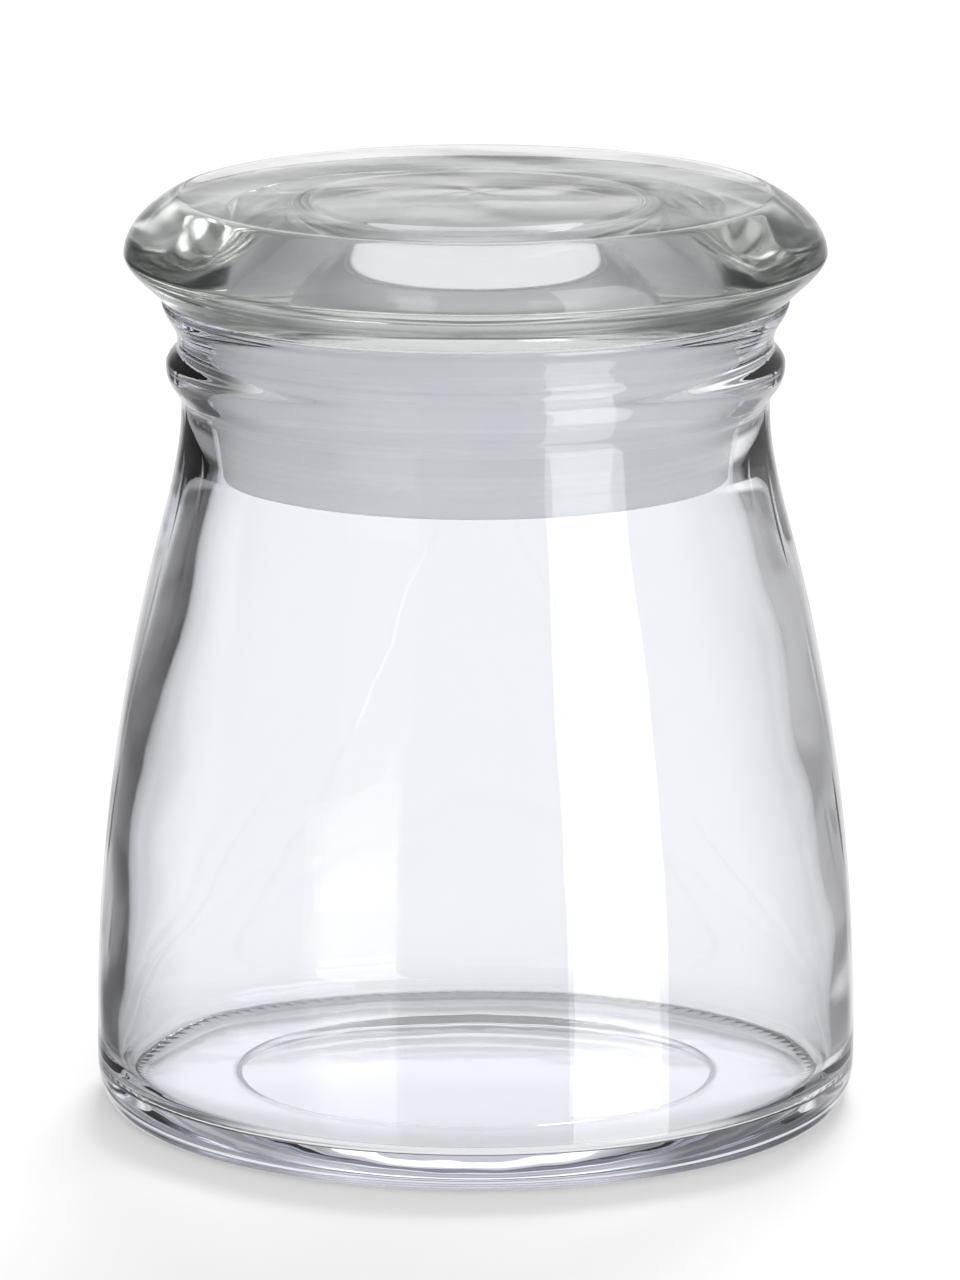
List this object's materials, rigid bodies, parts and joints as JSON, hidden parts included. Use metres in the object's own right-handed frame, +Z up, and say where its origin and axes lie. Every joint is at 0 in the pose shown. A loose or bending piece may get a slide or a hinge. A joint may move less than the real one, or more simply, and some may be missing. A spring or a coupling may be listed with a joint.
{
  "type": "apothecary jar",
  "caption": "Clear glass bell-shaped apothecary jar with a flat bevelled glass lid that lifts out, sealed in the neck by a translucent plastic ring.",
  "frame": {"origin": "centre of the ring that the jar stands on, at the bottom of the jar", "axes": "+Z up along the axis of the jar, neck and lid; the jar is round, so +X and -Y are any two sides, and -Y is taken as the front"},
  "size_m": [0.108, 0.108, 0.1304],
  "materials": {
    "jar_glass": "clear, fire-polished, with slight waves in the blown wall and a stippled base ring",
    "lid_glass": "clear pressed glass, faint grey-green in its thickness, polished",
    "seal_plastic": "translucent milky polyethylene, satin, fine moulded ribs"
  },
  "bodies": {
    "jar": {"jar_body": "jar_glass"},
    "lid": {"lid": "lid_glass", "lid_seal": "seal_plastic"}
  },
  "joints": [
    {"name": "lid_lift", "type": "slide", "parent": "jar", "child": "lid", "axis": [0, 0, 1], "range_m": [0, 0.1]}
  ]
}
